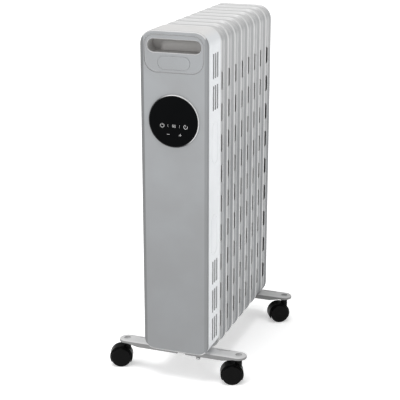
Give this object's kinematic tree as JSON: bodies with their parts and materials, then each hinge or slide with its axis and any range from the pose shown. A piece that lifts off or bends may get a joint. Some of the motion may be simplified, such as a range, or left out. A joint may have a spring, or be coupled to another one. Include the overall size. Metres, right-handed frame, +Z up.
{
  "type": "oil filled radiator heater",
  "caption": "Upright oil filled radiator with slotted pressed sections, a vented housing with a finger pocket and round touch display, and cross feet on swivel casters.",
  "frame": {"origin": "middle of the footprint's bounding box, on the floor", "axes": "+Z up; the control panel faces -Y; +X is to the right of someone looking at the panel"},
  "size_m": [0.2708, 0.371, 0.646],
  "materials": {
    "panel_grey": "fine satin moulded plastic",
    "display_rim": "satin silver",
    "display_glass": "black touch glass",
    "circuit_board": "green solder mask",
    "cover_white": "fine textured white moulding",
    "bare_steel": "zinc plated",
    "brass": "turned",
    "fin_enamel": "white powder coat",
    "foot_enamel": "white powder coat",
    "inner_plastic": "flame retardant moulding",
    "gland_black": "moulded nylon",
    "wire_insulation": "silicone",
    "socket_grey": "moulded nylon",
    "caster_black": "moulded nylon",
    "pin_steel": "plain"
  },
  "bodies": {
    "radiator": {"front_panel": "panel_grey", "grip_insert": "panel_grey", "badge_plate": "panel_grey", "display_ring": "display_rim", "display_glass": "display_glass", "touch_board": "circuit_board", "power_board": "circuit_board", "cover_shell": "cover_white", "heat_shield": "bare_steel", "cover_screws": "bare_steel", "header_caps": "bare_steel", "front_foot_bracket": "bare_steel", "rear_u_bolt": "bare_steel", "wing_nuts": "bare_steel", "foot_screw": "bare_steel", "sensor_probe": "bare_steel", "thermal_cutout": "bare_steel", "heating_element": "bare_steel", "element_terminals": "bare_steel", "heater_flange": "brass", "filler_plug": "brass", "fin_1": "fin_enamel", "fin_2": "fin_enamel", "fin_3": "fin_enamel", "fin_4": "fin_enamel", "fin_5": "fin_enamel", "fin_6": "fin_enamel", "fin_7": "fin_enamel", "fin_8": "fin_enamel", "rear_panel": "fin_enamel", "front_foot": "foot_enamel", "rear_foot": "foot_enamel", "board_standoffs": "inner_plastic", "relays": "inner_plastic", "terminal_block": "inner_plastic", "tip_switch_case": "inner_plastic", "cord_gland": "gland_black", "wiring_loom": "wire_insulation", "caster_sockets": "socket_grey"},
    "tip_weight": {"tip_pendulum": "inner_plastic"},
    "front_left_caster": {"front_left_hood": "caster_black", "front_left_stem": "pin_steel", "front_left_axle": "pin_steel"},
    "front_left_wheel_a": {"front_left_wheel_a": "caster_black"},
    "front_left_wheel_b": {"front_left_wheel_b": "caster_black"},
    "front_right_caster": {"front_right_hood": "caster_black", "front_right_stem": "pin_steel", "front_right_axle": "pin_steel"},
    "front_right_wheel_a": {"front_right_wheel_a": "caster_black"},
    "front_right_wheel_b": {"front_right_wheel_b": "caster_black"},
    "rear_left_caster": {"rear_left_hood": "caster_black", "rear_left_stem": "pin_steel", "rear_left_axle": "pin_steel"},
    "rear_left_wheel_a": {"rear_left_wheel_a": "caster_black"},
    "rear_left_wheel_b": {"rear_left_wheel_b": "caster_black"},
    "rear_right_caster": {"rear_right_hood": "caster_black", "rear_right_stem": "pin_steel", "rear_right_axle": "pin_steel"},
    "rear_right_wheel_a": {"rear_right_wheel_a": "caster_black"},
    "rear_right_wheel_b": {"rear_right_wheel_b": "caster_black"}
  },
  "joints": [
    {"name": "tip_swing", "type": "hinge", "parent": "radiator", "child": "tip_weight", "pos_m": [-0.01012, -0.1355, 0.213], "axis": [0, 1, 0], "range_deg": [-20, 20]},
    {"name": "front_left_swivel", "type": "hinge", "parent": "radiator", "child": "front_left_caster", "pos_m": [-0.10062, -0.1495, 0], "axis": [0, 0, 1], "continuous": true},
    {"name": "front_left_roll_a", "type": "hinge", "parent": "front_left_caster", "child": "front_left_wheel_a", "pos_m": [-0.11196, -0.15341, 0.01875], "axis": [-0.3256, 0.9455, 0], "continuous": true},
    {"name": "front_left_roll_b", "type": "hinge", "parent": "front_left_caster", "child": "front_left_wheel_b", "pos_m": [-0.11196, -0.15341, 0.01875], "axis": [-0.3256, 0.9455, 0], "continuous": true},
    {"name": "front_right_swivel", "type": "hinge", "parent": "radiator", "child": "front_right_caster", "pos_m": [0.12038, -0.1495, 0], "axis": [0, 0, 1], "continuous": true},
    {"name": "front_right_roll_a", "type": "hinge", "parent": "front_right_caster", "child": "front_right_wheel_a", "pos_m": [0.10918, -0.1538, 0.01875], "axis": [-0.3584, 0.9336, 0], "continuous": true},
    {"name": "front_right_roll_b", "type": "hinge", "parent": "front_right_caster", "child": "front_right_wheel_b", "pos_m": [0.10918, -0.1538, 0.01875], "axis": [-0.3584, 0.9336, 0], "continuous": true},
    {"name": "rear_left_swivel", "type": "hinge", "parent": "radiator", "child": "rear_left_caster", "pos_m": [-0.10062, 0.1535, 0], "axis": [0, 0, 1], "continuous": true},
    {"name": "rear_left_roll_a", "type": "hinge", "parent": "rear_left_caster", "child": "rear_left_wheel_a", "pos_m": [-0.11196, 0.14959, 0.01875], "axis": [-0.3256, 0.9455, 0], "continuous": true},
    {"name": "rear_left_roll_b", "type": "hinge", "parent": "rear_left_caster", "child": "rear_left_wheel_b", "pos_m": [-0.11196, 0.14959, 0.01875], "axis": [-0.3256, 0.9455, 0], "continuous": true},
    {"name": "rear_right_swivel", "type": "hinge", "parent": "radiator", "child": "rear_right_caster", "pos_m": [0.12038, 0.1535, 0], "axis": [0, 0, 1], "continuous": true},
    {"name": "rear_right_roll_a", "type": "hinge", "parent": "rear_right_caster", "child": "rear_right_wheel_a", "pos_m": [0.1101, 0.14732, 0.01875], "axis": [-0.515, 0.8572, 0], "continuous": true},
    {"name": "rear_right_roll_b", "type": "hinge", "parent": "rear_right_caster", "child": "rear_right_wheel_b", "pos_m": [0.1101, 0.14732, 0.01875], "axis": [-0.515, 0.8572, 0], "continuous": true}
  ]
}
